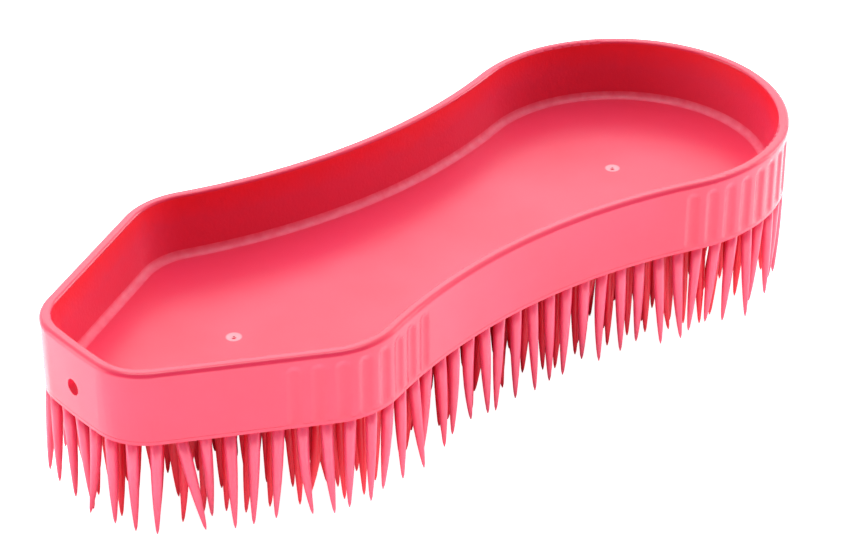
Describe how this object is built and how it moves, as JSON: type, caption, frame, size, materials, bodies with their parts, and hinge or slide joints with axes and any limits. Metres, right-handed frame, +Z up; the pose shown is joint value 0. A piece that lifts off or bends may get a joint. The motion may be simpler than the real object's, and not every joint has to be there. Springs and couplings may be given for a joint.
{
  "type": "grooming brush",
  "caption": "One-hand moulded plastic grooming brush: a shallow figure-eight tray with fluted finger grips, a hanging hole, and a dense field of tapered bristles underneath.",
  "frame": {"origin": "on the surface that the bristle tips stand on, under the middle of the length and width", "axes": "+X from the narrow toe with the hanging hole to the round head, +Y across the width, +Z up from the bristle tips to the rim"},
  "size_m": [0.175, 0.0704, 0.0362],
  "materials": {
    "shell": "semi-gloss injection-moulded polypropylene, coral red",
    "plate": "semi-gloss injection-moulded polypropylene, coral red",
    "bristle": "satin flexible moulded plastic, coral red"
  },
  "bodies": {
    "root": {"bristle_plate": "plate", "field_bristle_row_01": "bristle", "field_bristle_row_02": "bristle", "field_bristle_row_03": "bristle", "field_bristle_row_04": "bristle", "field_bristle_row_05": "bristle", "field_bristle_row_06": "bristle", "field_bristle_row_07": "bristle", "field_bristle_row_08": "bristle", "field_bristle_row_09": "bristle", "field_bristle_row_10": "bristle", "field_bristle_row_11": "bristle", "field_bristle_row_12": "bristle", "field_bristle_row_13": "bristle", "field_bristle_row_14": "bristle", "field_bristle_row_15": "bristle", "field_bristle_row_16": "bristle", "field_bristle_row_17": "bristle", "field_bristle_row_18": "bristle", "field_bristle_row_19": "bristle", "field_bristle_row_20": "bristle", "field_bristle_row_21": "bristle", "field_bristle_row_22": "bristle", "field_bristle_row_23": "bristle", "field_bristle_row_24": "bristle", "field_bristle_row_25": "bristle", "field_bristle_row_26": "bristle", "field_bristle_row_27": "bristle", "field_bristle_row_28": "bristle", "field_bristle_row_29": "bristle", "field_bristle_row_30": "bristle", "field_bristle_row_31": "bristle", "field_bristle_row_32": "bristle", "field_bristle_row_33": "bristle", "field_bristle_row_34": "bristle", "field_bristle_row_35": "bristle", "field_bristle_row_36": "bristle", "field_bristle_row_37": "bristle", "field_bristle_row_38": "bristle", "field_bristle_row_39": "bristle", "field_bristle_row_40": "bristle", "field_bristle_row_41": "bristle", "field_bristle_row_42": "bristle", "field_bristle_row_43": "bristle", "field_bristle_row_44": "bristle", "grip_shell": "shell", "outer_bristle_row": "bristle", "second_bristle_row": "bristle"}
  },
  "joints": []
}
